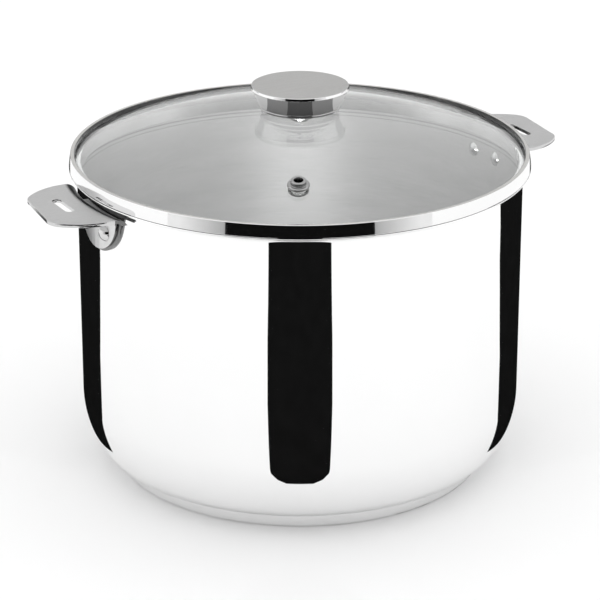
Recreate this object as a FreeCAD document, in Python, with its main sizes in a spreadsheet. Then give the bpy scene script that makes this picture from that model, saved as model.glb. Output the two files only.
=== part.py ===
import FreeCAD
import Part
import math
import os
import Sketcher

# Stock pot: a deep drawn steel vessel on a capsule base, two riveted lugs, and a
# glass lid with a steel band, a knob and a steam vent. Millimetres. The origin is
# the centre of the base's underside, +Z is up and +X runs through a lug.

SIZES = {
    # vessel
    "body_radius": 121.0,
    "wall": 1.0,
    "heel_upper_radius": 53.0,
    "heel_lower_radius": 19.0,
    "heel_upper_turn": 30.0,
    "heel_turn": 75.0,
    "flare_start": 167.6,
    "flare_radius": 2.4,
    "flare_turn": 60.0,
    "lip_radius": 125.2,
    "lip_top": 171.4,
    "lip_round": 0.5,
    # capsule base
    "base_thick": 7.2,
    "base_radius": 102.0,
    "base_round": 2.5,
    "cap_sheet": 0.8,
    "cap_draft": 0.4,
    "cap_gap": 0.3,
    # lugs, their backing plates and rivets
    "lug_sheet": 1.8,
    "plate_sheet": 1.4,
    "lug_sweep": 60.0,
    "wing_top": 168.3,
    "bend_radius": 7.0,
    "wing_reach": 154.4,
    "wing_slant": 1.7,
    "wing_offset": -0.3,
    "wing_half": 33.0,
    "wing_root": 130.5,
    "wing_root_in": 110.0,
    "wing_side_radius": 34.0,
    "wing_shoulder": 150.6,
    "wing_shoulder_half": 24.0,
    "wing_tip_half": 15.0,
    "wing_corner_radius": 11.0,
    "slot_reach": 139.6,
    "slot_length": 21.5,
    "slot_width": 5.0,
    "slot_offset": -2.0,
    "flange_radius": 20.2,
    "flange_offset": 4.3,
    "flange_centre": 164.8,
    "plate_border": 1.4,
    "plate_top": 164.0,
    "rivet_height": 155.2,
    "rivet_angle": 5.2,
    "rivet_shift": 1.1,
    "rivet_shank": 2.5,
    "rivet_hole": 2.6,
    "rivet_head": 4.4,
    "rivet_rise": 2.8,
    "rivet_seat_gap": 0.07,
    "rivet_head_inside": 4.0,
    "rivet_rise_inside": 1.8,
    # lid glass and band
    "crown_radius": 320.0,
    "crown_top": 200.9,
    "glass_thick": 3.5,
    "glass_radius": 123.0,
    "glass_hole": 5.0,
    "band_bottom": 171.7,
    "band_top": 178.6,
    "band_sheet": 0.8,
    "band_width": 3.2,
    "band_round": 0.7,
    "skirt_radius": 118.8,
    "skirt_bottom": 165.5,
    # knob
    "knob_bottom": 201.9,
    "knob_top": 214.4,
    "knob_foot_radius": 21.8,
    "knob_head_radius": 26.5,
    "knob_round": 1.2,
    "knob_wall": 1.2,
    "knob_cap_thick": 1.6,
    "knob_spigot_radius": 22.0,
    "knob_spigot": 1.4,
    "knob_spigot_gap": 0.8,
    "core_gap": 0.1,
    "core_inset": 1.2,
    "bush_radius": 5.0,
    "bush_flange": 7.5,
    "bush_flange_thick": 1.2,
    "thread_radius": 2.45,
    "screw_radius": 2.4,
    "screw_reach": 208.5,
    "screw_head_radius": 4.8,
    "screw_head": 2.8,
    "screw_round": 1.2,
    "screw_point": 1.0,
    "gasket_radius": 14.0,
    "gasket_sleeve": 4.8,
    "gasket_stop": 0.6,
    "washer_radius": 9.0,
    "washer_thick": 1.0,
    "seal_radius": 10.0,
    "seal_thick": 1.2,
    # steam vent
    "vent_reach": 90.7,
    "vent_azimuth": -119.0,
    "vent_hole": 4.2,
    "vent_bore": 2.45,
    "vent_tube": 3.2,
    "vent_flange": 5.85,
    "vent_flange_thick": 1.3,
    "vent_ring": 4.0,
    "vent_rise": 2.3,
    "vent_round": 0.5,
    "vent_seal_thick": 0.4,
    "vent_seal_inset": 0.3,
    "vent_fit": 0.1,
    "vent_collar": 5.4,
    "vent_collar_thick": 1.2,
    "vent_tail": 6.2,
    # how far the trims and drills run past what they cut
    "trim_past": 20.0,
    "trim_under": 60.0,
    "trim_beside": 80.0,
    "drill_past": 10.0,
}

doc = FreeCAD.newDocument("stock_pot")
sheet = doc.addObject("Spreadsheet::Sheet", "Sizes")
for row, (name, number) in enumerate(SIZES.items(), start=1):
    sheet.set("A%d" % row, name)
    sheet.set("B%d" % row, str(number))
    sheet.setAlias("B%d" % row, name)
doc.recompute()


class Size:
    """A number, and the expression on the sheet's cells that gives it."""

    def __init__(self, number, text):
        self.number = number
        self.text = text

    def __add__(self, other):
        return join(self, "+", other, self.number + plain(other))

    def __sub__(self, other):
        return join(self, "-", other, self.number - plain(other))

    def __mul__(self, other):
        return join(self, "*", other, self.number * plain(other))

    def __neg__(self):
        return Size(-self.number, "(0 - %s)" % self.text)


def plain(value):
    return value.number if isinstance(value, Size) else float(value)


def words(value):
    return value.text if isinstance(value, Size) else "%.6f" % value


def join(left, sign, right, number):
    return Size(number, "(%s %s %s)" % (words(left), sign, words(right)))


def root(value):
    return Size(math.sqrt(value.number), "sqrt(%s)" % value.text)


def sine(angle):
    return Size(math.sin(math.radians(angle.number)), "sin(%s)" % angle.text)


def cosine(angle):
    return Size(math.cos(math.radians(angle.number)), "cos(%s)" % angle.text)


def size(name):
    return Size(SIZES[name], "Sizes.%s" % name)


ZERO = Size(0.0, "0")


# ---- sketches, turned pieces and placements -------------------------------------


def arc(radius, centre, end, anticlockwise):
    """An arc about a centre that leads from the last point to this end."""
    return {"radius": radius, "centre": centre, "end": end, "anticlockwise": anticlockwise}


def half_round(centre, end, anticlockwise):
    """Half a circle between two points level with its centre."""
    return arc(None, centre, end, anticlockwise)


def end_of(step):
    return step["end"] if isinstance(step, dict) else step


def pin_point(sketch, geometry, position, point):
    """Hold one end of a line or arc at a point given by sizes."""
    across, up = point
    for kind, value, axis in (("DistanceX", across, -2), ("DistanceY", up, -1)):
        if value.text == "0":
            sketch.addConstraint(Sketcher.Constraint("PointOnObject", geometry, position, axis))
            continue
        index = sketch.addConstraint(
            Sketcher.Constraint(kind, -1, 1, geometry, position, value.number))
        sketch.setExpression("Constraints[%d]" % index, value.text)


def draw(sketch, outline):
    """Add a closed outline of points and arcs, each point held by its sizes."""
    starts = []
    for number, step in enumerate(outline):
        begin = end_of(outline[number - 1])
        finish = end_of(step)
        here = FreeCAD.Vector(begin[0].number, begin[1].number, 0)
        there = FreeCAD.Vector(finish[0].number, finish[1].number, 0)
        if isinstance(step, dict):
            middle = FreeCAD.Vector(step["centre"][0].number, step["centre"][1].number, 0)
            circle = Part.Circle(middle, FreeCAD.Vector(0, 0, 1), (here - middle).Length)
            low, high = (here, there) if step["anticlockwise"] else (there, here)
            curve = Part.ArcOfCircle(circle, angle_of(low - middle), angle_of(high - middle))
            index = sketch.addGeometry(curve, False)
            starts.append((index, 1 if step["anticlockwise"] else 2))
        else:
            index = sketch.addGeometry(Part.LineSegment(here, there), False)
            starts.append((index, 1))
    for number, step in enumerate(outline):
        index, start = starts[number]
        before = starts[number - 1]
        sketch.addConstraint(
            Sketcher.Constraint("Coincident", before[0], 3 - before[1], index, start))
        pin_point(sketch, index, start, end_of(outline[number - 1]))
        if isinstance(step, dict) and step["radius"] is None:
            level = step["centre"][1]
            held = sketch.addConstraint(
                Sketcher.Constraint("DistanceY", -1, 1, index, 3, level.number))
            sketch.setExpression("Constraints[%d]" % held, level.text)
        elif isinstance(step, dict):
            radius = step["radius"]
            held = sketch.addConstraint(Sketcher.Constraint("Radius", index, radius.number))
            sketch.setExpression("Constraints[%d]" % held, radius.text)


def angle_of(vector):
    return math.atan2(vector.y, vector.x)


def body(label):
    piece = doc.addObject("PartDesign::Body", label)
    piece.Label = label
    return piece


def sketch_on(piece, role, name):
    plane = [face for face in piece.Origin.OriginFeatures if face.Role == role][0]
    sketch = piece.newObject("Sketcher::SketchObject", name)
    sketch.AttachmentSupport = (plane, [""])
    sketch.MapMode = "FlatFace"
    return sketch


def turned(label, outline, sweep=None):
    """A piece turned about Z from an outline in the XZ plane."""
    piece = body(label)
    sketch = sketch_on(piece, "XZ_Plane", label + "_section")
    draw(sketch, outline)
    turn = piece.newObject("PartDesign::Revolution", label + "_turn")
    turn.Profile = sketch
    turn.ReferenceAxis = (sketch, ["V_Axis"])
    turn.Angle = 360
    if sweep is not None:
        turn.Midplane = True
        turn.setExpression("Angle", sweep.text)
    sketch.Visibility = False
    doc.recompute()
    return piece


def rod(name, radius, length, placement):
    """A drill or plug along its own Z, used only to cut."""
    tool = doc.addObject("Part::Cylinder", name)
    tool.setExpression("Radius", radius.text)
    tool.setExpression("Height", length.text)
    tool.Placement = placement
    return tool


def cut_away(label, blank, tools):
    """A piece left when the tools are cut from a blank."""
    gang = doc.addObject("Part::Compound", label + "_drills")
    gang.Links = tools
    piece = doc.addObject("Part::Cut", label)
    piece.Base = blank
    piece.Tool = gang
    piece.Label = label
    doc.recompute()
    return piece


def spin(degrees):
    return FreeCAD.Rotation(FreeCAD.Vector(0, 0, 1), degrees)


def radial(azimuth, height):
    """A frame on the pot's axis at a height, with its Z pointing out along an azimuth."""
    tip = FreeCAD.Rotation(FreeCAD.Vector(0, 1, 0), 90)
    return FreeCAD.Placement(FreeCAD.Vector(0, 0, height), spin(azimuth) * tip)


# ---- vessel and base ------------------------------------------------------------

wall = size("wall")
outside = size("body_radius")
inside = outside - wall
upper = size("heel_upper_radius")
lower = size("heel_lower_radius")
turn_upper = size("heel_upper_turn")
turn_heel = size("heel_turn")
base_top = size("base_thick")
lip = size("lip_radius")
lip_top = size("lip_top")
lip_round = size("lip_round")

# The heel is two arcs in a row: a large one off the wall, a small one down to the base.
heel_mid_r = outside - upper + upper * cosine(turn_upper)
small_r = heel_mid_r - lower * cosine(turn_upper)
small_z = base_top + lower * sine(turn_heel)
heel_mid_z = small_z - lower * sine(turn_upper)
big_r = outside - upper
big_z = heel_mid_z + upper * sine(turn_upper)
heel_end_r = small_r + lower * cosine(turn_heel)
floor_top = small_z - (lower - wall) * sine(turn_heel)

# The mouth flares out over one arc and ends in a thicker rounded lip.
flare_z = size("flare_start")
flare_r = outside + size("flare_radius")
flare_turn = size("flare_turn")
flare_in = size("flare_radius") + wall
flare_out_r = flare_r - size("flare_radius") * cosine(flare_turn)
flare_out_z = flare_z + size("flare_radius") * sine(flare_turn)
flare_in_r = flare_r - flare_in * cosine(flare_turn)
flare_in_z = flare_z + flare_in * sine(flare_turn)
lip_under = flare_out_z + wall

vessel_blank = turned("vessel_blank", [
    (ZERO, base_top),
    (heel_end_r, base_top),
    arc(lower, (small_r, small_z), (heel_mid_r, heel_mid_z), True),
    arc(upper, (big_r, big_z), (outside, big_z), True),
    (outside, flare_z),
    arc(size("flare_radius"), (flare_r, flare_z), (flare_out_r, flare_out_z), False),
    (lip, lip_under),
    (lip, lip_top - lip_round),
    arc(lip_round, (lip - lip_round, lip_top - lip_round), (lip - lip_round, lip_top), True),
    (flare_in_r + lip_round, lip_top),
    arc(lip_round, (flare_in_r + lip_round, lip_top - lip_round),
        (flare_in_r, lip_top - lip_round), True),
    (flare_in_r, flare_in_z),
    arc(flare_in, (flare_r, flare_z), (inside, flare_z), True),
    (inside, big_z),
    arc(upper - wall, (big_r, big_z), (heel_mid_r - wall * cosine(turn_upper),
                                       heel_mid_z + wall * sine(turn_upper)), False),
    arc(lower - wall, (small_r, small_z),
        (heel_end_r - wall * cosine(turn_heel), floor_top), False),
    (ZERO, floor_top),
])

cap = size("cap_sheet")
base_r = size("base_radius")
base_round = size("base_round")
draft = size("cap_draft")
cap_top = base_top - size("cap_gap")

turned("base_cap", [
    (ZERO, ZERO),
    (base_r - base_round, ZERO),
    arc(base_round, (base_r - base_round, base_round), (base_r, base_round), True),
    (base_r + draft, cap_top),
    (base_r + draft - cap, cap_top),
    (base_r - cap, base_round),
    arc(base_round - cap, (base_r - base_round, base_round), (base_r - base_round, cap), False),
    (ZERO, cap),
])

turned("base_core", [
    (ZERO, cap),
    (base_r - base_round, cap),
    arc(base_round - cap, (base_r - base_round, base_round), (base_r - cap, base_round), True),
    (base_r - cap, base_top),
    (ZERO, base_top),
])

# ---- lugs, backing plates and rivets ---------------------------------------------

lug_sheet = size("lug_sheet")
plate_sheet = size("plate_sheet")
wing_top = size("wing_top")
bend = size("bend_radius")
lug_in = outside + plate_sheet
lug_out = lug_in + lug_sheet
bend_r = lug_in + bend
bend_z = wing_top - bend
flange_z = size("flange_centre")
flange_y = size("flange_offset")
flange_radius = size("flange_radius")
trim_past = size("trim_past")
far_out = size("wing_reach") + trim_past
far_in = size("wing_root_in") - trim_past
far_down = flange_z - size("trim_under")
far_side = size("wing_half") + size("trim_beside")
wing_y = size("wing_offset")
reach = size("wing_reach")
slant = size("wing_slant")
shoulder = size("wing_shoulder")

LUG_SIDES = {"right": 0.0, "left": 180.0}


def corner_between(start, finish, radius):
    """The centre of the outward arc of a radius from start on to finish."""
    half_x = (finish[0] - start[0]) * 0.5
    half_y = (finish[1] - start[1]) * 0.5
    chord = half_x * half_x + half_y * half_y
    scale = math.sqrt(radius.number ** 2 / chord.number - 1)
    return (start[0] + half_x - half_y * scale, start[1] + half_y + half_x * scale)


def wing_outline():
    """The wing seen from above: curved flanks, rounded corners and a slanted end."""
    root_x = size("wing_root")
    half = size("wing_half")
    inner_x = size("wing_root_in")
    shoulder_half = size("wing_shoulder_half")
    tip_half = size("wing_tip_half")
    side = size("wing_side_radius")
    corner = size("wing_corner_radius")
    low_root = (root_x, wing_y - half)
    low_shoulder = (shoulder - slant, wing_y - shoulder_half)
    low_tip = (reach - slant, wing_y - tip_half)
    high_tip = (reach + slant, wing_y + tip_half)
    high_shoulder = (shoulder + slant, wing_y + shoulder_half)
    high_root = (root_x, wing_y + half)
    return [
        (inner_x, wing_y - half),
        low_root,
        arc(side, corner_between(low_root, low_shoulder, side), low_shoulder, True),
        arc(corner, corner_between(low_shoulder, low_tip, corner), low_tip, True),
        high_tip,
        arc(corner, corner_between(high_tip, high_shoulder, corner), high_shoulder, True),
        arc(side, corner_between(high_shoulder, high_root, side), high_root, True),
        (inner_x, wing_y + half),
    ]


def through_pocket(piece, sketch, name):
    pocket = piece.newObject("PartDesign::Pocket", name)
    pocket.Profile = sketch
    pocket.Type = "ThroughAll"
    pocket.Reversed = True
    sketch.Visibility = False
    doc.recompute()
    return pocket


def lug_blank(label):
    """One sheet bent from a half-round flange out to a flat wing with a slot."""
    piece = turned(label, [
        (lug_in, far_down),
        (lug_out, far_down),
        (lug_out, bend_z),
        arc(bend - lug_sheet, (bend_r, bend_z), (bend_r, wing_top - lug_sheet), False),
        (far_out, wing_top - lug_sheet),
        (far_out, wing_top),
        (bend_r, wing_top),
        arc(bend, (bend_r, bend_z), (lug_in, bend_z), True),
    ], size("lug_sweep"))
    trim = sketch_on(piece, "XY_Plane", label + "_wing")
    draw(trim, [
        (far_in, -far_side),
        (far_out + trim_past, -far_side),
        (far_out + trim_past, far_side),
        (far_in, far_side),
    ])
    draw(trim, wing_outline())
    through_pocket(piece, trim, label + "_wing_trim")

    slot = sketch_on(piece, "XY_Plane", label + "_slot")
    slot_r = size("slot_width") * 0.5
    slot_half = size("slot_length") * 0.5 - slot_r
    slot_x = size("slot_reach")
    slot_low = size("slot_offset") - slot_half
    slot_high = size("slot_offset") + slot_half
    draw(slot, [
        (slot_x - slot_r, slot_low),
        half_round((slot_x, slot_low), (slot_x + slot_r, slot_low), True),
        (slot_x + slot_r, slot_high),
        half_round((slot_x, slot_high), (slot_x - slot_r, slot_high), True),
    ])
    through_pocket(piece, slot, label + "_slot_cut")
    trim_below(piece, label, flange_radius, flange_z)
    return piece


def trim_below(piece, label, radius, top):
    """Cut all that lies under a height and outside a half-round tongue."""
    trim = sketch_on(piece, "YZ_Plane", label + "_tongue")
    draw(trim, [
        (-far_side, far_down - trim_past),
        (far_side, far_down - trim_past),
        (far_side, top),
        (flange_y + radius, top),
        half_round((flange_y, top), (flange_y - radius, top), False),
        (-far_side, top),
    ])
    through_pocket(piece, trim, label + "_tongue_trim")


def plate_blank(label):
    """The backing plate between a lug's flange and the wall."""
    piece = turned(label, [
        (outside, far_down),
        (lug_in, far_down),
        (lug_in, size("plate_top")),
        (outside, size("plate_top")),
    ], size("lug_sweep"))
    trim_below(piece, label, flange_radius + size("plate_border"), flange_z)
    trim = sketch_on(piece, "XY_Plane", label + "_ends")
    plate_half = flange_radius + size("plate_border")
    for low, high in ((-far_side, flange_y - plate_half), (flange_y + plate_half, far_side)):
        draw(trim, [(far_out, low), (far_out, high), (far_in, high), (far_in, low)])
    through_pocket(piece, trim, label + "_end_trim")
    return piece


rivet_z = size("rivet_height")
rivet_span = {"front": -1.0, "back": 1.0}


def rivet_azimuth(side, place):
    return LUG_SIDES[side] + SIZES["rivet_shift"] + rivet_span[place] * SIZES["rivet_angle"]


def rivet_drills(side):
    """Two drills on a lug's rivet axes, out from well inside the wall."""
    drills = []
    for place in rivet_span:
        drill = rod("drill_%s_%s" % (side, place), size("rivet_hole"), far_out,
                    radial(rivet_azimuth(side, place), SIZES["rivet_height"]))
        drills.append(drill)
    return drills


def dome_radius(rim, rise):
    """The radius of a dome that rises so far over its rim."""
    radius = (rim.number ** 2 + rise.number ** 2) / (2 * rise.number)
    text = "((%s * %s + %s * %s) / (2 * %s))" % (
        rim.text, rim.text, rise.text, rise.text, rise.text)
    return Size(radius, text)


def rivet(label, side, place):
    """A rivet with a domed head on the flange and a lower dome inside the vessel."""
    head = size("rivet_head")
    rise = size("rivet_rise")
    head_in = size("rivet_head_inside")
    rise_in = size("rivet_rise_inside")
    seat_in = inside - size("rivet_seat_gap")
    dome = dome_radius(head, rise)
    dome_in = dome_radius(head_in, rise_in)
    piece = turned(label, [
        (ZERO, seat_in - rise_in),
        arc(dome_in, (ZERO, seat_in - rise_in + dome_in), (head_in, seat_in), True),
        (size("rivet_shank"), seat_in),
        (size("rivet_shank"), lug_out),
        (head, lug_out),
        arc(dome, (ZERO, lug_out + rise - dome), (ZERO, lug_out + rise), True),
    ])
    piece.Placement = radial(rivet_azimuth(side, place), SIZES["rivet_height"])
    return piece


all_drills = []
for side, azimuth in LUG_SIDES.items():
    drills = rivet_drills(side)
    all_drills += drills
    turned_about = FreeCAD.Placement(FreeCAD.Vector(), spin(azimuth))
    for kind, make in (("handle_lug", lug_blank), ("lug_plate", plate_blank)):
        blank = make("%s_%s_blank" % (kind, side))
        blank.Placement = turned_about
        cut_away("%s_%s" % (kind, side), blank, drills)
    for place in rivet_span:
        rivet("rivet_%s_%s" % (side, place), side, place)

cut_away("vessel", vessel_blank, all_drills)

# ---- lid glass and band -----------------------------------------------------------

crown = size("crown_radius")
crown_z = size("crown_top") - crown
glass = size("glass_thick")
glass_r = size("glass_radius")
under = crown - glass


def on_sphere(radius, across):
    """The height of a sphere about the crown's centre at a distance from the axis."""
    return crown_z + root(radius * radius - across * across)


vent_tilt = math.degrees(math.asin(SIZES["vent_reach"] / SIZES["crown_radius"]))
vent_turn = spin(SIZES["vent_azimuth"]) * FreeCAD.Rotation(FreeCAD.Vector(0, 1, 0), vent_tilt)
vent_top = on_sphere(crown, size("vent_reach")).number
vent_place = FreeCAD.Placement(
    spin(SIZES["vent_azimuth"]).multVec(FreeCAD.Vector(SIZES["vent_reach"], 0, vent_top)),
    vent_turn)

glass_hole = size("glass_hole")
glass_blank = turned("lid_glass_blank", [
    (glass_hole, on_sphere(crown, glass_hole)),
    arc(crown, (ZERO, crown_z), (glass_r, on_sphere(crown, glass_r)), False),
    (glass_r, on_sphere(under, glass_r)),
    arc(under, (ZERO, crown_z), (glass_hole, on_sphere(under, glass_hole)), True),
])
drill_past = size("drill_past")
below_vent = FreeCAD.Placement(FreeCAD.Vector(0, 0, -drill_past.number), FreeCAD.Rotation())
vent_drill = rod("vent_drill", size("vent_hole"), drill_past + drill_past,
                 vent_place.multiply(below_vent))
cut_away("lid_glass", glass_blank, [vent_drill])

band = size("band_sheet")
band_low = size("band_bottom")
band_high = size("band_top")
band_round = size("band_round")
skirt_out = size("skirt_radius")
curl_r = lip - size("band_width")
turned("lid_band", [
    (skirt_out, size("skirt_bottom")),
    (skirt_out, band_low),
    (lip - band_round, band_low),
    arc(band_round, (lip - band_round, band_low + band_round), (lip, band_low + band_round), True),
    (lip, band_high - band_round),
    arc(band_round, (lip - band_round, band_high - band_round),
        (lip - band_round, band_high), True),
    (curl_r + band_round, band_high),
    arc(band_round, (curl_r + band_round, band_high - band_round),
        (curl_r, band_high - band_round), True),
    (curl_r, on_sphere(crown, curl_r)),
    (curl_r + band, on_sphere(crown, curl_r)),
    (curl_r + band, band_high - band),
    (lip - band, band_high - band),
    (lip - band, band_low + band),
    (skirt_out - band, band_low + band),
    (skirt_out - band, size("skirt_bottom")),
])

# ---- knob and its fixing -----------------------------------------------------------

knob_low = size("knob_bottom")
knob_high = size("knob_top")
foot = size("knob_foot_radius")
crest = size("knob_head_radius")
knob_round = size("knob_round")
knob_wall = size("knob_wall")
cap_seat = knob_high - size("knob_cap_thick")
spigot = size("knob_spigot_radius")
spigot_low = cap_seat - size("knob_spigot")
cap_spigot = spigot - size("knob_spigot_gap")
bush_r = size("bush_radius")
bush_flange = size("bush_flange")
bush_step = knob_low + knob_wall + size("bush_flange_thick")
shell_floor = knob_low + knob_wall
foot_in = foot - knob_wall - knob_round

turned("knob_shell", [
    (bush_r, knob_low),
    (foot - knob_round, knob_low),
    arc(knob_round, (foot - knob_round, knob_low + knob_round),
        (foot, knob_low + knob_round), True),
    (crest, cap_seat),
    (spigot, cap_seat),
    (foot_in, shell_floor),
    (bush_r, shell_floor),
])
turned("knob_cap", [
    (ZERO, spigot_low),
    (cap_spigot, spigot_low),
    (cap_spigot, cap_seat),
    (crest, cap_seat),
    (crest, knob_high - knob_round),
    arc(knob_round, (crest - knob_round, knob_high - knob_round),
        (crest - knob_round, knob_high), True),
    (ZERO, knob_high),
])
turned("knob_core", [
    (bush_flange, shell_floor),
    (foot_in - size("core_gap"), shell_floor),
    (spigot - size("core_inset"), spigot_low),
    (bush_r, spigot_low),
    (bush_r, bush_step),
    (bush_flange, bush_step),
])
turned("knob_bush", [
    (size("thread_radius"), knob_low),
    (bush_r, knob_low),
    (bush_r, shell_floor),
    (bush_flange, shell_floor),
    (bush_flange, bush_step),
    (bush_r, bush_step),
    (bush_r, spigot_low),
    (size("thread_radius"), spigot_low),
])

gasket = size("gasket_radius")
sleeve = size("gasket_sleeve")
screw_r = size("screw_radius")
seal = size("seal_radius")
gasket_low = on_sphere(under, seal) + size("gasket_stop")
seal_low = crown_z + under - size("seal_thick")
washer_low = seal_low - size("washer_thick")
head_low = washer_low - size("screw_head")

turned("knob_gasket", [
    (screw_r, gasket_low),
    (sleeve, gasket_low),
    (sleeve, on_sphere(crown, sleeve)),
    arc(crown, (ZERO, crown_z), (gasket, on_sphere(crown, gasket)), False),
    (gasket, knob_low),
    (screw_r, knob_low),
])
turned("knob_seal", [
    (screw_r, seal_low),
    (seal, seal_low),
    (seal, on_sphere(under, seal)),
    arc(under, (ZERO, crown_z), (screw_r, on_sphere(under, screw_r)), True),
])
turned("knob_washer", [
    (screw_r, washer_low),
    (size("washer_radius"), washer_low),
    (size("washer_radius"), seal_low),
    (screw_r, seal_low),
])
screw_head = size("screw_head_radius")
screw_round = size("screw_round")
screw_top = size("screw_reach")
screw_point = size("screw_point")
turned("knob_screw", [
    (ZERO, head_low),
    (screw_head - screw_round, head_low),
    arc(screw_round, (screw_head - screw_round, head_low + screw_round),
        (screw_head, head_low + screw_round), True),
    (screw_head, washer_low),
    (screw_r, washer_low),
    (screw_r, screw_top - screw_point),
    (screw_r - screw_point, screw_top),
    (ZERO, screw_top),
])

# ---- steam vent, made upright and then laid on the glass ---------------------------

bore = size("vent_bore")
tube = size("vent_tube")
seal_top = size("vent_seal_thick")
flange_top = seal_top + size("vent_flange_thick")
ring = size("vent_ring")
vent_round = size("vent_round")
ring_top = flange_top + size("vent_rise")
tail = -size("vent_tail")
vent_fit = size("vent_fit")
vent_hole = size("vent_hole")
vent_flange = size("vent_flange")
vent_seal = vent_flange - size("vent_seal_inset")
collar = size("vent_collar")
collar_top = -(glass + vent_fit)
collar_low = collar_top - size("vent_collar_thick")
vent_pieces = [
    turned("vent_eyelet", [
        (bore, tail),
        (tube, tail),
        (tube, seal_top),
        (vent_flange, seal_top),
        (vent_flange, flange_top - vent_round),
        (vent_flange - vent_round, flange_top),
        (ring, flange_top),
        (ring, ring_top - vent_round),
        arc(vent_round, (ring - vent_round, ring_top - vent_round),
            (ring - vent_round, ring_top), True),
        (bore, ring_top),
    ]),
    turned("vent_gasket", [
        (tube, collar_top + vent_fit),
        (vent_hole - vent_fit, collar_top + vent_fit),
        (vent_hole - vent_fit, ZERO),
        (vent_seal, ZERO),
        (vent_seal, seal_top),
        (tube, seal_top),
    ]),
    turned("vent_collar", [
        (tube, collar_low),
        (collar - vent_round, collar_low),
        arc(vent_round, (collar - vent_round, collar_low + vent_round),
            (collar, collar_low + vent_round), True),
        (collar, collar_top),
        (tube, collar_top),
    ]),
]
for piece in vent_pieces:
    piece.Placement = vent_place

# ---- check every object and write each sub-part ------------------------------------

doc.recompute()
NODES = ["vessel", "base_core", "base_cap"]
for side in LUG_SIDES:
    NODES += ["handle_lug_" + side, "lug_plate_" + side]
    NODES += ["rivet_%s_%s" % (side, place) for place in rivet_span]
NODES += ["lid_glass", "lid_band", "knob_shell", "knob_cap", "knob_core", "knob_bush"]
NODES += ["knob_gasket", "knob_seal", "knob_washer", "knob_screw"]
NODES += ["vent_eyelet", "vent_gasket", "vent_collar"]

for item in doc.Objects:
    if "Invalid" in item.State or "Error" in item.State:
        raise RuntimeError("%s did not recompute: %s" % (item.Name, item.State))

os.makedirs("parts", exist_ok=True)
for node in NODES:
    shape = doc.getObjectsByLabel(node)[0].Shape
    if shape.isNull() or not shape.isValid() or shape.Volume <= 0:
        raise RuntimeError("%s has no valid shape" % node)
    shape.exportStep("parts/%s.step" % node)
    box = shape.BoundBox
    print("%-18s solids %d  volume %9.1f  x %.1f %.1f  y %.1f %.1f  z %.1f %.1f" % (
        node, len(shape.Solids), shape.Volume,
        box.XMin, box.XMax, box.YMin, box.YMax, box.ZMin, box.ZMax))
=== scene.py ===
import math
import bmesh
import bpy
from mathutils import Matrix, Vector


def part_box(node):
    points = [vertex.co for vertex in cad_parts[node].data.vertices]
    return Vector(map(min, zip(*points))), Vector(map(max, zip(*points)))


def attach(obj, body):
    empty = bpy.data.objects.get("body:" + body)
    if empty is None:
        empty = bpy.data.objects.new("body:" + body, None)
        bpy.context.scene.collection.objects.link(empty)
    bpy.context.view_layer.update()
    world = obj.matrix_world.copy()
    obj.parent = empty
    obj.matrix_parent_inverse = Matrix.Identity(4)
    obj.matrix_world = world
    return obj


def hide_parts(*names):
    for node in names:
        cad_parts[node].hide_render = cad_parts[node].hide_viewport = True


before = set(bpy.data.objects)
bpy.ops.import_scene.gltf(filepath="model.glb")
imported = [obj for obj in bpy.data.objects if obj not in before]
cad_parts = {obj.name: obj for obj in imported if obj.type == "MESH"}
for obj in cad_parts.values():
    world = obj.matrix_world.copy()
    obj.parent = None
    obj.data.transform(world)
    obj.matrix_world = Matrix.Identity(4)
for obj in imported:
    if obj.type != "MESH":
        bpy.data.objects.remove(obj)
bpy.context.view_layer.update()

MM = 0.001
TAU = 2 * math.pi
ON_AXIS = 1e-7
scene = bpy.context.scene

# ---- small helpers ----------------------------------------------------------------


def size_of(node):
    low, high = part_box(node)
    return Vector(low), Vector(high)


def link(name, mesh):
    piece = bpy.data.objects.new(name, mesh)
    scene.collection.objects.link(piece)
    return piece


def bend_points(centre, radius, start, finish, steps):
    """Points of an arc in the section plane, angles in degrees, both ends included."""
    points = []
    for step in range(steps + 1):
        angle = math.radians(start + (finish - start) * step / steps)
        across, up = radius * math.cos(angle), radius * math.sin(angle)
        points.append((centre[0] + across, centre[1] + up))
    return points


def lathe(name, section, segments=256, closed=True, sharp=35.0):
    """A solid turned about Z from (radius, height) points in metres."""
    mesh = bpy.data.meshes.new(name)
    build = bmesh.new()
    rings = []
    for radius, height in section:
        if radius < ON_AXIS:
            rings.append([build.verts.new((0, 0, height))])
            continue
        ring = []
        for step in range(segments):
            angle = TAU * step / segments
            place = (radius * math.cos(angle), radius * math.sin(angle), height)
            ring.append(build.verts.new(place))
        rings.append(ring)
    pairs = list(zip(rings, rings[1:]))
    if closed:
        pairs.append((rings[-1], rings[0]))
    for low, high in pairs:
        if len(low) == 1 and len(high) == 1:
            continue
        for step in range(segments):
            after = (step + 1) % segments
            if len(low) == 1:
                build.faces.new((low[0], high[after], high[step]))
            elif len(high) == 1:
                build.faces.new((low[step], low[after], high[0]))
            else:
                build.faces.new((low[step], low[after], high[after], high[step]))
    bmesh.ops.recalc_face_normals(build, faces=build.faces[:])
    build.to_mesh(mesh)
    build.free()
    smooth(mesh, sharp)
    return link(name, mesh)


def smooth(mesh, sharp):
    """Smooth shading, with an edge kept sharp where its faces turn by more than this."""
    mesh.shade_smooth()
    mesh.set_sharp_from_angle(angle=math.radians(sharp))


def finish_piece(piece, body, slot, material, *nodes):
    """Rides on a body, stands for its CAD nodes and takes one material."""
    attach(piece, body)
    if nodes:
        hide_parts(*nodes)
    piece.data.materials.clear()
    piece.data.materials.append(material)
    return piece


# ---- material building ------------------------------------------------------------


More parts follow.
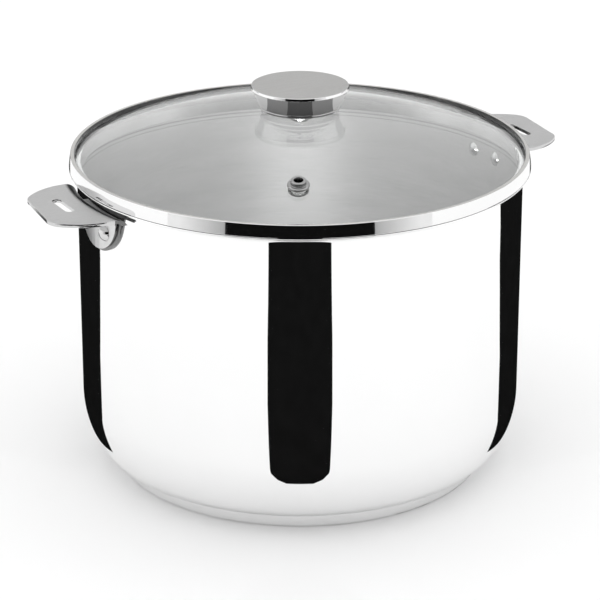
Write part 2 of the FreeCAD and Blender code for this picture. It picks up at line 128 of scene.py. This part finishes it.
class Paint:
    """A short way to write a node material."""

    def __init__(self, name):
        self.material = bpy.data.materials.new(name)
        self.material.use_nodes = True
        self.tree = self.material.node_tree
        self.tree.nodes.clear()
        self.out = self.tree.nodes.new("ShaderNodeOutputMaterial")
        self.shader = self.tree.nodes.new("ShaderNodeBsdfPrincipled")
        self.tree.links.new(self.shader.outputs[0], self.out.inputs[0])
        self.coords = self.tree.nodes.new("ShaderNodeTexCoord").outputs["Object"]

    def set(self, **values):
        for key, value in values.items():
            self.shader.inputs[key.replace("_", " ")].default_value = value
        return self

    def plug(self, socket, value):
        """Link a socket to a node's output, or give it a plain value."""
        if isinstance(value, bpy.types.NodeSocket):
            self.tree.links.new(value, socket)
        else:
            socket.default_value = value

    def node(self, kind, **inputs):
        node = self.tree.nodes.new(kind)
        for key, value in inputs.items():
            self.plug(node.inputs[key.replace("_", " ")], value)
        return node

    def math(self, operation, first, second=0.0):
        node = self.tree.nodes.new("ShaderNodeMath")
        node.operation = operation
        self.plug(node.inputs[0], first)
        self.plug(node.inputs[1], second)
        return node.outputs[0]

    def dot(self, *pairs):
        """The sum of the products of the pairs."""
        products = [self.math("MULTIPLY", first, second) for first, second in pairs]
        return self.math("ADD", *products)

    def scaled(self, x, y, z, factors):
        """A vector whose parts are multiplied by the factors."""
        parts = [self.math("MULTIPLY", part, factor) for part, factor in zip((x, y, z), factors)]
        return self.join(*parts)

    def split(self, vector):
        return self.node("ShaderNodeSeparateXYZ", Vector=vector).outputs

    def join(self, x, y, z):
        return self.node("ShaderNodeCombineXYZ", X=x, Y=y, Z=z).outputs[0]

    def noise(self, vector, scale, detail=3.0, roughness=0.5):
        return self.node("ShaderNodeTexNoise", Vector=vector, Scale=scale, Detail=detail,
                         Roughness=roughness).outputs["Fac"]

    def spread(self, value, low, high, from_low=0.0, from_high=1.0):
        """A value moved from one range to another, held at the ends."""
        node = self.tree.nodes.new("ShaderNodeMapRange")
        for index, number in enumerate((value, from_low, from_high, low, high)):
            self.plug(node.inputs[index], number)
        return node.outputs[0]

    def blend(self, fac, first, second):
        node = self.tree.nodes.new("ShaderNodeMix")
        node.data_type = "RGBA"
        for index, value in ((0, fac), (6, first), (7, second)):
            self.plug(node.inputs[index], value)
        return node.outputs[2]

    def into(self, name, value):
        self.tree.links.new(value, self.shader.inputs[name])

    def bump(self, height, distance, strength=1.0, below=None):
        node = self.node("ShaderNodeBump", Height=height, Distance=distance, Strength=strength)
        if below is not None:
            self.tree.links.new(below, node.inputs["Normal"])
        return node.outputs[0]


def around(paint):
    """(angle round Z, radius, height) of a surface point, for grain that follows a lathe."""
    x, y, z = paint.split(paint.coords)
    angle = paint.math("ARCTAN2", y, x)
    return angle, paint.math("SQRT", paint.dot((x, x), (y, y))), z


def grey(level, tint=(0.0, 0.0, 0.0)):
    return (level + tint[0], level + tint[1], level + tint[2], 1.0)


def inside_range(paint, value, low, high):
    """1 where a value lies between two limits, else 0."""
    above = paint.math("GREATER_THAN", value, low)
    return paint.math("MULTIPLY", above, paint.math("LESS_THAN", value, high))


def polished(name, level=0.86, rough=0.03, wave=0.00003):
    """Mirror-polished steel: haze, faint hairlines, handling smudges and a soft waviness."""
    paint = Paint(name)
    paint.set(Metallic=1.0)
    angle, radius, height = around(paint)
    haze = paint.noise(paint.coords, 26.0, 4.0)
    smudge = paint.noise(paint.coords, 55.0, 5.0, 0.7)
    hair = paint.noise(paint.scaled(angle, height, radius, (1.5, 900.0, 900.0)), 1.0, 2.0)
    paint.into("Base Color", paint.blend(haze, grey(level - 0.015), grey(level + 0.015)))
    dull = paint.spread(hair, 0.0, 0.03, 0.6, 0.8)
    print_mark = paint.spread(smudge, 0.0, 0.035, 0.6, 0.75)
    base = paint.spread(haze, rough * 0.7, rough * 1.3)
    paint.into("Roughness", paint.math("ADD", base, paint.math("ADD", dull, print_mark)))
    soft = paint.bump(paint.noise(paint.coords, 9.0, 1.0), wave)
    paint.into("Normal", paint.bump(hair, 0.0000015, 1.0, soft))
    return paint.material


def straight_grain(paint, along, fine, across):
    """Noise drawn out along X or Y, for sheet ground in one direction."""
    x, y, z = paint.split(paint.coords)
    scale_x, scale_y = (along, fine) if across == "y" else (fine, along)
    return paint.noise(paint.scaled(x, y, z, (scale_x, scale_y, fine)), 1.0, 3.0, 0.6)


def leaning_out(paint):
    """How far a normal points away from the axis and up, from -1 to 1, then radius and height."""
    x, y, z = paint.split(paint.coords)
    normal = paint.split(paint.tree.nodes["Texture Coordinate"].outputs["Normal"])
    radius = paint.math("SQRT", paint.dot((x, x), (y, y)))
    outward = paint.math("DIVIDE", paint.dot((x, normal[0]), (y, normal[1])), radius)
    return outward, normal[2], radius, z


# Past this radius a lug is its flat wing, and above this height it is its bend.
BEND_OUT = 130.0 * MM
BEND_LOW = 161.0 * MM


def satin(name, level=0.62, rough=0.34, across="x", tint=(0.0, 0.0, 0.0), edge=None):
    """Fine ground sheet; with an edge test, its cut edges are polished and the side of its bend that
    faces the pot is painted dark as painted shade.
    """
    paint = Paint(name)
    paint.set(Metallic=1.0)
    grain = straight_grain(paint, 90.0, 1700.0, across)
    cloud = paint.noise(paint.coords, 45.0, 3.0)
    speck = paint.noise(paint.coords, 1500.0, 2.0)
    shade = paint.math("ADD", paint.spread(grain, -0.5, 0.5), paint.spread(speck, -0.5, 0.5))
    tone = paint.math("ADD", paint.math("MULTIPLY", shade, 0.9), paint.spread(cloud, 0.35, 0.65))
    colour = paint.blend(tone, grey(level - 0.07, tint), grey(level + 0.07, tint))
    dull = paint.math("ADD", paint.spread(cloud, rough * 0.9, rough * 1.1),
                      paint.spread(speck, -0.04, 0.04))
    normal = paint.bump(paint.math("ADD", grain, speck), 0.000004)
    if edge is not None:
        mask = edge(paint)
        outward, _, radius, _ = leaning_out(paint)
        # Painted shade: faces that turn towards the pot's axis, the inner side of a lug's bend, are
        # darkened to stand for the dark gap they face.
        bend = paint.spread(outward, 1.0, 0.0, -0.22, -0.03)
        colour = paint.blend(bend, colour, grey(level * 0.12))
        rim = paint.blend(paint.math("GREATER_THAN", radius, BEND_OUT), grey(0.16), grey(0.6))
        colour = paint.blend(mask, colour, rim)
        dull = paint.spread(mask, dull, 0.1)
    paint.into("Base Color", colour)
    paint.into("Roughness", dull)
    paint.into("Normal", normal)
    return paint.material


def ring_brushed(name, level=0.7, rough=0.3, along="height", tint=(0.0, 0.0, 0.0),
                 contrast=0.05, groove_shades=(), metal=1.0):
    """Grain that runs round the axis, as left by a belt or pad on a turning part."""
    paint = Paint(name)
    paint.set(Metallic=metal, Anisotropic=0.9, Anisotropic_Rotation=0.25)
    lay = paint.tree.nodes.new("ShaderNodeTangent")
    lay.direction_type = "RADIAL"
    lay.axis = "Z"
    paint.into("Tangent", lay.outputs[0])
    angle, radius, height = around(paint)
    across = paint.math("MULTIPLY", height if along == "height" else radius, 1500.0)
    grain = paint.noise(paint.join(paint.math("MULTIPLY", angle, 8.0), across, 0.0), 1.0, 4.0, 0.65)
    drift = paint.join(paint.math("MULTIPLY", angle, 2.2), paint.math("MULTIPLY", across, 0.06), 3.0)
    broad = paint.noise(drift, 1.0, 3.0, 0.5)
    tone = paint.math("ADD", paint.spread(grain, 0.1, 0.9), paint.spread(broad, -0.3, 0.3))
    colour = paint.blend(tone, grey(level - contrast, tint), grey(level + contrast, tint))
    # Each listed height band is painted darker, as painted shade of a fine turned groove.
    for low, high in groove_shades:
        colour = paint.blend(inside_range(paint, height, low, high), colour, grey(level * 0.45))
    paint.into("Base Color", colour)
    paint.into("Roughness", paint.math("ADD", paint.spread(grain, rough - 0.05, rough + 0.05),
                                       paint.spread(broad, -0.04, 0.04)))
    paint.into("Normal", paint.bump(grain, 0.000003))
    return paint.material


def moulded(name, colour, rough=0.5, metal=0.0):
    """Moulded or turned stock with a fine tooth and slight mottling."""
    paint = Paint(name)
    paint.set(Metallic=metal)
    mottle = paint.noise(paint.coords, 160.0, 4.0)
    tooth = paint.noise(paint.coords, 1800.0, 2.0)
    dark, light = ([part * share for part in colour] + [1.0] for share in (0.9, 1.1))
    paint.into("Base Color", paint.blend(mottle, dark, light))
    paint.into("Roughness", paint.math("ADD", paint.spread(mottle, rough - 0.06, rough + 0.06),
                                       paint.spread(tooth, -0.05, 0.05)))
    paint.into("Normal", paint.bump(tooth, 0.00001))
    return paint.material


# ---- the vessel -------------------------------------------------------------------

vessel_high = size_of("vessel")[1]
LIP_R = vessel_high.x
LIP_TOP = vessel_high.z
LIP_REACH = 4.2 * MM
LIP_ROUND = 0.5 * MM
BODY_R = LIP_R - LIP_REACH
WALL = 1.0 * MM
BASE_TOP = size_of("base_core")[1].z
UPPER_HEEL = 53.0 * MM
LOWER_HEEL = 19.0 * MM
UPPER_TURN = 30.0
HEEL_TURN = 75.0
FLARE = 2.4 * MM
FLARE_TURN = 60.0
FLARE_DEPTH = 3.8 * MM
FLARE_START = LIP_TOP - FLARE_DEPTH


def vessel_section(inset):
    """The wall's outer line from the base up to the flare, moved in by an inset."""
    upper = UPPER_HEEL - inset
    lower = LOWER_HEEL - inset
    turn = math.radians(UPPER_TURN)
    big_r = BODY_R - UPPER_HEEL
    mid_r = big_r + UPPER_HEEL * math.cos(turn)
    small_r = mid_r - LOWER_HEEL * math.cos(turn)
    small_z = BASE_TOP + LOWER_HEEL * math.sin(math.radians(HEEL_TURN))
    mid_z = small_z - LOWER_HEEL * math.sin(turn)
    big_z = mid_z + UPPER_HEEL * math.sin(turn)
    points = bend_points((small_r, small_z), lower, -HEEL_TURN, -UPPER_TURN, 24)
    points += bend_points((big_r, big_z), upper, -UPPER_TURN, 0.0, 20)[1:]
    steps = 10
    for step in range(1, steps + 1):
        points.append((BODY_R - inset, big_z + (FLARE_START - big_z) * step / steps))
    flare_centre = (BODY_R + FLARE, FLARE_START)
    points += bend_points(flare_centre, FLARE + inset, 180.0, 180.0 - FLARE_TURN, 12)[1:]
    return points


outer = vessel_section(0.0)
inner = vessel_section(WALL)
flare_end = outer[-1][1]
inner_edge = inner[-1][0]
lip_edge = [(LIP_R - 0.2 * MM, flare_end + 0.9 * MM), (LIP_R, flare_end + 1.1 * MM)]
lip_edge += bend_points((LIP_R - LIP_ROUND, LIP_TOP - LIP_ROUND), LIP_ROUND, 0.0, 90.0, 6)
lip_edge += bend_points((inner_edge + LIP_ROUND, LIP_TOP - LIP_ROUND), LIP_ROUND, 90.0, 180.0, 6)
vessel_line = [(0.0, BASE_TOP)] + outer + lip_edge + inner[::-1] + [(0.0, inner[0][1])]
vessel = lathe("vessel_shell", vessel_line, 384, closed=False, sharp=40.0)

# The belt-brushed inside stops below the polished mouth, where two fine dark lines are painted shade
# standing in for turned grooves that the shell does not have.
MOUTH_DEPTH = 8.0 * MM
POLISH_EDGE = LIP_TOP - MOUTH_DEPTH
LINE_WIDE = 0.5 * MM
LINE_GAP = 2.0 * MM
groove_shade_lines = ((POLISH_EDGE - LINE_WIDE, POLISH_EDGE + LINE_WIDE),
              (POLISH_EDGE - LINE_GAP - LINE_WIDE, POLISH_EDGE - LINE_GAP))
mirror = polished("steel_mirror", 0.93, 0.02)
brushed_inside = ring_brushed("steel_inside", 0.4, 0.5, contrast=0.1, groove_shades=groove_shade_lines, metal=0.25)
mouth_mirror = polished("steel_mouth", 0.68, 0.08)
finish_piece(vessel, "pot", "polished_steel", mirror, "vessel")
vessel.data.materials.append(brushed_inside)
vessel.data.materials.append(mouth_mirror)
for face in vessel.data.polygons:
    centre = face.center
    reach = math.hypot(centre.x, centre.y)
    outward = face.normal.x * centre.x + face.normal.y * centre.y
    floor_face = reach < BODY_R - 2 * WALL and face.normal.z > 0
    if outward < 0 or floor_face:
        face.material_index = 1 if centre.z < POLISH_EDGE + LINE_WIDE else 2

# ---- the lid's band -----------------------------------------------------------------

band_low, band_high = size_of("lid_band")
BAND_R = band_high.x
BAND_TOP = band_high.z
BAND_DEPTH = 6.9 * MM
BAND_SHEET = 0.8 * MM
CURL_WIDTH = 3.2 * MM
CURL_DEPTH = 4.4 * MM
BAND_LOW = BAND_TOP - BAND_DEPTH
SKIRT_LOW = band_low.z
SKIRT_R = 118.8 * MM
CURL_R = BAND_R - CURL_WIDTH
GLASS_BITE = BAND_TOP - CURL_DEPTH
band_line = [
    (SKIRT_R - BAND_SHEET, SKIRT_LOW), (SKIRT_R, SKIRT_LOW), (SKIRT_R, BAND_LOW),
    (BAND_R - 0.3 * MM, BAND_LOW), (BAND_R - 0.08 * MM, BAND_LOW + 0.07 * MM),
    (BAND_R, BAND_LOW + 0.25 * MM)]
# The outer face leans in by a few degrees, and a little more towards the top.
LEAN_LOW, LEAN_HIGH = 6.5, 9.5
FACE_STEPS = 10
face_r, face_z = band_line[-1]
SHOULDER = 0.3 * MM
face_step = (BAND_TOP - SHOULDER - face_z) / FACE_STEPS
for step in range(FACE_STEPS):
    lean = math.radians(LEAN_LOW + (LEAN_HIGH - LEAN_LOW) * step / (FACE_STEPS - 1))
    face_r -= face_step * math.tan(lean)
    face_z += face_step
    band_line.append((face_r, face_z))
band_line += bend_points((face_r - SHOULDER, BAND_TOP - SHOULDER), SHOULDER, 10.0, 90.0, 5)[1:]
band_line += [(CURL_R + 0.3 * MM, BAND_TOP), (CURL_R + 0.08 * MM, BAND_TOP - 0.08 * MM),
              (CURL_R, BAND_TOP - 0.35 * MM), (CURL_R, GLASS_BITE)]
band_line += [(CURL_R + BAND_SHEET, GLASS_BITE), (CURL_R + BAND_SHEET, BAND_TOP - BAND_SHEET),
              (BAND_R - 1.9 * MM, BAND_TOP - BAND_SHEET), (BAND_R - BAND_SHEET, BAND_LOW + 1.0 * MM),
              (BAND_R - 0.9 * MM, BAND_LOW + BAND_SHEET), (SKIRT_R - BAND_SHEET, BAND_LOW + BAND_SHEET)]
band = lathe("lid_band_ring", band_line, 384, closed=True, sharp=30.0)
finish_piece(band, "lid", "band_steel", polished("band_mirror", 0.88, 0.04), "lid_band")
band.data.materials.append(ring_brushed("band_top", 0.8, 0.18, "radius", tint=(0.01, 0.0, -0.02)))
# Painted shade: a near-black polish on the band's inner edge stands for the dark gap down to the glass.
band.data.materials.append(polished("band_edge_painted_shade", 0.12, 0.15))
# The flat top is brushed, and the edge that turns down to the glass is painted near-black as painted
# shade of the gap beside the glass.
for face in band.data.polygons:
    reach = math.hypot(face.center.x, face.center.y)
    if face.normal.z > 0.99 and face.center.z > BAND_TOP - 0.1 * MM:
        face.material_index = 1
    elif reach < CURL_R + 0.2 * MM and GLASS_BITE < face.center.z:
        face.material_index = 2

# ---- the knob -------------------------------------------------------------------------

shell_low, shell_high = size_of("knob_shell")
KNOB_LOW = shell_low.z
KNOB_SEAT = shell_high.z
KNOB_TOP = size_of("knob_cap")[1].z
CREST = 26.5 * MM
FOOT = 21.8 * MM
BUSH = 5.0 * MM
KNOB_FLOOR = 1.2 * MM
shell_line = [
    (BUSH, KNOB_LOW), (FOOT - 0.2 * MM, KNOB_LOW), (FOOT - 0.04 * MM, KNOB_LOW + 0.07 * MM),
    (FOOT, KNOB_LOW + 0.2 * MM), (FOOT - 0.14 * MM, KNOB_LOW + 1.3 * MM),
    (FOOT - 0.08 * MM, KNOB_LOW + 1.42 * MM),
    (CREST - 0.5 * MM, KNOB_SEAT - 0.35 * MM), (CREST - 0.45 * MM, KNOB_SEAT - 0.15 * MM),
    (CREST - 0.6 * MM, KNOB_SEAT - 0.04 * MM), (CREST - 0.9 * MM, KNOB_SEAT),
    (CREST - 4.5 * MM, KNOB_SEAT), (FOOT - 2.4 * MM, KNOB_LOW + KNOB_FLOOR),
    (BUSH, KNOB_LOW + KNOB_FLOOR)]
knob_shell = lathe("knob_cone", shell_line, 192, closed=True, sharp=30.0)
finish_piece(knob_shell, "lid", "knob_steel", polished("knob_mirror", 0.8, 0.03), "knob_shell")

cap_line = [
    (0.0, KNOB_SEAT), (CREST - 0.3 * MM, KNOB_SEAT), (CREST - 0.06 * MM, KNOB_SEAT + 0.05 * MM),
    (CREST, KNOB_SEAT + 0.18 * MM), (CREST - 0.16 * MM, KNOB_TOP - 0.26 * MM),
    (CREST - 0.24 * MM, KNOB_TOP - 0.1 * MM), (CREST - 0.4 * MM, KNOB_TOP - 0.02 * MM),
    (CREST - 0.6 * MM, KNOB_TOP), (0.0, KNOB_TOP)]
knob_cap = lathe("knob_disc", cap_line, 192, closed=False, sharp=30.0)
finish_piece(knob_cap, "lid", "knob_top_steel", polished("knob_rim", 0.85, 0.05), "knob_cap")
knob_cap.data.materials.append(satin("knob_brushed", 0.6, 0.3, "y", tint=(0.006, 0.002, -0.008)))
for face in knob_cap.data.polygons:
    if face.normal.z > 0.99:
        face.material_index = 1

# ---- materials on the pieces that keep their CAD shape ----------------------------


def lug_edges(paint):
    """1 on the sheet's cut edges: the wing's rim, and the rim of the bend and flange."""
    outward, upward, radius, z = leaning_out(paint)
    flat = paint.math("MULTIPLY", upward, upward)
    facing = paint.math("MULTIPLY", outward, outward)
    on_wing = paint.math("GREATER_THAN", radius, BEND_OUT)
    on_bend = paint.math("GREATER_THAN", z, BEND_LOW)
    near = paint.math("ADD", facing, paint.math("MULTIPLY", on_bend, flat))
    seen = paint.math("ADD", paint.math("MULTIPLY", on_wing, flat),
                      paint.math("MULTIPLY", paint.math("SUBTRACT", 1.0, on_wing), near))
    return paint.math("LESS_THAN", seen, 0.5)


def dress(node, *materials):
    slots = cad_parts[node].data.materials
    slots.clear()
    for material in materials:
        slots.append(material)


def round_edges(node, width):
    """Break a piece's sharp edges; the broken edge takes its last material."""
    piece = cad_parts[node]
    join = piece.modifiers.new("join", "WELD")
    join.merge_threshold = 0.002 * MM
    bevel = piece.modifiers.new("broken_edge", "BEVEL")
    bevel.width = width
    bevel.segments = 2
    bevel.limit_method = "ANGLE"
    bevel.angle_limit = math.radians(40.0)
    bevel.harden_normals = True
    bevel.material = len(piece.data.materials) - 1


LUG_BREAK, PLATE_BREAK, VENT_BREAK = 0.4 * MM, 0.3 * MM, 0.2 * MM
lug_satin = satin("lug_satin", 0.67, 0.36, "y", edge=lug_edges)
edge_steel = polished("edge_steel", 0.14, 0.12)
plate_edge = polished("plate_edge", 0.3, 0.12)
rivet_steel = polished("rivet_polished", 0.66, 0.1)
vent_steel = polished("vent_polished", 0.36, 0.08)
silicone = moulded("silicone_clear", (0.62, 0.62, 0.6), 0.42)
fixing_steel = ring_brushed("fixing_turned", 0.68, 0.25, "radius")
dress("base_core", ring_brushed("aluminium_core", 0.75, 0.4))
dress("base_cap", ring_brushed("base_satin", 0.9, 0.12, "height", contrast=0.02))
dress("knob_core", moulded("core_moulded", (0.05, 0.05, 0.05), 0.5))
dress("knob_bush", moulded("brass_turned", (0.72, 0.58, 0.3), 0.25, 1.0))
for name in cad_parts:
    if name.startswith("handle_lug"):
        dress(name, lug_satin, edge_steel)
        round_edges(name, LUG_BREAK)
    if name.startswith("lug_plate"):
        dress(name, satin("plate_satin_" + name[-4:], 0.22, 0.3, "y"), plate_edge)
        round_edges(name, PLATE_BREAK)
    if name.startswith("rivet"):
        dress(name, rivet_steel)
    if name in ("vent_eyelet", "vent_collar"):
        dress(name, vent_steel)
        round_edges(name, VENT_BREAK)
    if name in ("knob_screw", "knob_washer"):
        dress(name, fixing_steel)
    if name in ("knob_gasket", "knob_seal", "vent_gasket"):
        dress(name, silicone)


def glass_material():
    """Clear tempered glass with a trace of green, a soft press waviness and faint wipe marks."""
    paint = Paint("lid_glass_clear")
    paint.set(IOR=1.45, Transmission_Weight=1.0)
    wipe = paint.noise(paint.coords, 18.0, 4.0, 0.6)
    clear = paint.blend(wipe, (0.975, 0.985, 0.98, 1.0), (0.985, 0.99, 0.988, 1.0))
    paint.into("Base Color", clear)
    paint.into("Roughness", paint.spread(wipe, 0.0, 0.012, 0.5, 0.8))
    paint.into("Normal", paint.bump(paint.noise(paint.coords, 7.0, 1.0), 0.00003))
    return paint.material


dress("lid_glass", glass_material())

# ---- floor, light and camera --------------------------------------------------------


def floor(name, width, material):
    mesh = bpy.data.meshes.new(name)
    build = bmesh.new()
    bmesh.ops.create_grid(build, x_segments=1, y_segments=1, size=0.5)
    build.to_mesh(mesh)
    build.free()
    piece = link(name, mesh)
    piece.scale = (width, width, 1)
    mesh.materials.append(material)
    return piece


def floor_material():
    paint = Paint("studio_floor")
    paint.set(Roughness=0.9)
    paint.into("Base Color", paint.blend(paint.noise(paint.coords, 4.0), grey(0.93), grey(0.95)))
    return paint.material


FLOOR_SIZE = 12.0
floor("studio_floor", FLOOR_SIZE, floor_material())

# The camera stands off the front, turned so that one lug points back right.
LUG_TURN = math.radians(28.5)


def card_material(name, levels, one_sided=False, rise=None):
    """Matt studio card in one tone, or in tones that change at angles from -Y round the axis.

    Each level is (angle it starts at, tone there, tone where the next one starts). A rise is a
    pair of heights in mm between which the tone fades to nearly white."""
    paint = Paint(name)
    paint.set(Roughness=0.95, Specular_IOR_Level=0.0)
    weave = paint.noise(paint.coords, 30.0, 3.0)
    x, y, z = paint.split(paint.coords)
    turn = paint.math("ABSOLUTE", paint.math("ARCTAN2", x, paint.math("MULTIPLY", y, -1.0)))
    shade = None
    for index, (start, tone, end_tone) in enumerate(levels):
        finish = levels[index + 1][0] if index + 1 < len(levels) else 180.0
        fade = paint.spread(turn, 0.0, 1.0, math.radians(start), math.radians(finish))
        step = paint.blend(fade, grey(tone), grey(end_tone))
        if shade is None:
            shade = step
        else:
            shade = paint.blend(paint.math("GREATER_THAN", turn, math.radians(start)), shade, step)
    if rise is not None:
        lift = paint.spread(z, 0.0, 1.0, rise[0] * MM, rise[1] * MM)
        shade = paint.blend(lift, shade, grey(0.98))
    paint.into("Base Color", paint.blend(paint.math("MULTIPLY", weave, 0.04), shade, grey(0.1)))
    if one_sided:
        behind = paint.tree.nodes.new("ShaderNodeNewGeometry").outputs["Backfacing"]
        paint.into("Alpha", paint.math("SUBTRACT", 1.0, behind))
    return paint.material


def card(name, points, faces, material):
    """A studio card that shows only in reflections, laid out with the camera at -Y."""
    mesh = bpy.data.meshes.new(name)
    mesh.from_pydata([[value * MM for value in point] for point in points], [], faces)
    mesh.materials.append(material)
    piece = link(name, mesh)
    piece.rotation_euler = (0.0, 0.0, -LUG_TURN)
    piece.visible_camera = False
    piece.visible_diffuse = False
    piece.visible_transmission = False
    piece.visible_volume_scatter = False
    piece.visible_shadow = False
    return piece


FLAT_CARD_HEIGHT = 0.6


def flat_card(name, outline, material):
    """A card that lies just above the floor."""
    points = [(x, y, FLAT_CARD_HEIGHT) for x, y in outline]
    return card(name, points, [list(range(len(points)))], material)


def curved_card(name, radius, low, high, start, finish, steps, material):
    """Part of an upright cylinder; angles are measured from -Y, in degrees."""
    points = []
    for step in range(steps + 1):
        turn = math.radians(start + (finish - start) * step / steps)
        across, along = radius * math.sin(turn), -radius * math.cos(turn)
        points += [(across, along, low), (across, along, high)]
    faces = [(2 * step, 2 * step + 2, 2 * step + 3, 2 * step + 1) for step in range(steps)]
    return card(name, points, faces, material)


def ring_card(name, inner, outer, low, high, reach, steps, material):
    """Part of a shallow cone round the axis, centred on -Y."""
    points = []
    for step in range(steps + 1):
        turn = math.radians(reach * (2.0 * step / steps - 1.0))
        for radius, height in ((inner, high), (outer, low)):
            points.append((radius * math.sin(turn), -radius * math.cos(turn), height))
    faces = [(2 * step, 2 * step + 1, 2 * step + 3, 2 * step + 2) for step in range(steps)]
    return card(name, points, faces, material)


black = card_material("card_black", [(0.0, 0.004, 0.004)])
centre_edge = [(12, -156), (22, -165), (33, -185), (41, -210), (69, -295), (96.5, -390),
               (131.5, -529), (160, -640)]
flat_card("card_centre", centre_edge + [(-x, y) for x, y in centre_edge[::-1]], black)
side_line = [(121, -32), (182, 4), (219, 34), (257, 65), (302, 94), (350, 124), (402, 153),
             (480, 206), (300, 560), (125, 400), (121, 0)]
flat_card("card_right", side_line, black)
flat_card("card_left", [(-x, y) for x, y in side_line[::-1]], black)
front = card_material("card_fade", [(0.0, 0.003, 0.003), (33.5, 0.4, 0.84), (56.0, 0.84, 0.84)])
curved_card("card_front", 1000.0, 20.0, 600.0, -62.0, 62.0, 48, front)
back = card_material("card_grey", [(0.0, 0.6, 0.6)], rise=(900.0, 2600.0))
curved_card("card_back", 1300.0, 180.0, 2600.0, 110.0, 250.0, 48, back)
rear = card_material("card_rear", [(0.0, 0.07, 0.07)])
curved_card("card_back_low", 1290.0, 0.0, 180.0, 140.0, 220.0, 32, rear)
behind_edge = [(125, 405), (300, 565), (700, 1250)]
flat_card("card_behind", behind_edge + [(-x, y) for x, y in behind_edge[::-1]], rear)
tones = [(0.0, 0.09, 0.09), (20.5, 0.24, 0.24), (62.0, 0.62, 0.62)]
ring_card("card_knob", 22.6, 36.0, 200.2, 201.6, 130.0, 64, card_material("card_tones", tones, True))

# A small soft light under the lid, so that the brushed inside shows through the glass.
lamp = bpy.data.lights.new("inside_light", "AREA")
lamp.shape = "RECTANGLE"
lamp.size, lamp.size_y = 120.0 * MM, 36.0 * MM
lamp.energy = 0.14
lamp.spread = math.radians(112.0)
inside_light = bpy.data.objects.new("inside_light", lamp)
scene.collection.objects.link(inside_light)
lamp_place = Vector((0.0, -92.0 * MM, 140.0 * MM))
lamp_aim = Vector((0.0, 115.0 * MM, 128.0 * MM))
lamp_turn = Matrix.Rotation(-LUG_TURN, 4, "Z")
lamp_facing = (lamp_aim - lamp_place).to_track_quat("-Z", "Y").to_matrix().to_4x4()
inside_light.matrix_world = lamp_turn @ Matrix.Translation(lamp_place) @ lamp_facing
inside_light.visible_camera = False
inside_light.visible_transmission = False

world = bpy.data.worlds.new("studio")
scene.world = world
world.use_nodes = True
WORLD_STRENGTH = 1.18
background = world.node_tree.nodes["Background"]
background.inputs[0].default_value = (1, 1, 1, 1)
background.inputs[1].default_value = WORLD_STRENGTH
scene.view_settings.view_transform = "Standard"

POT_R = 121.0 * MM
CAMERA_DISTANCE = 11.648 * POT_R
CAMERA_HEIGHT = 5.292 * POT_R
CLIP_END = 50.0
CAMERA_PITCH = 0.3722
FOCAL = 2730.3
FRAME_PIXELS = 600.0
SENSOR = 36.0
towards = Vector((-math.sin(LUG_TURN), -math.cos(LUG_TURN), 0.0))
data = bpy.data.cameras.new("camera")
data.sensor_width = SENSOR
data.lens = FOCAL / FRAME_PIXELS * SENSOR
data.clip_end = CLIP_END
camera = bpy.data.objects.new("camera", data)
scene.collection.objects.link(camera)
camera.location = towards * CAMERA_DISTANCE + Vector((0, 0, CAMERA_HEIGHT))
camera.rotation_euler = (math.pi / 2 - CAMERA_PITCH, 0.0, -LUG_TURN)
scene.camera = camera
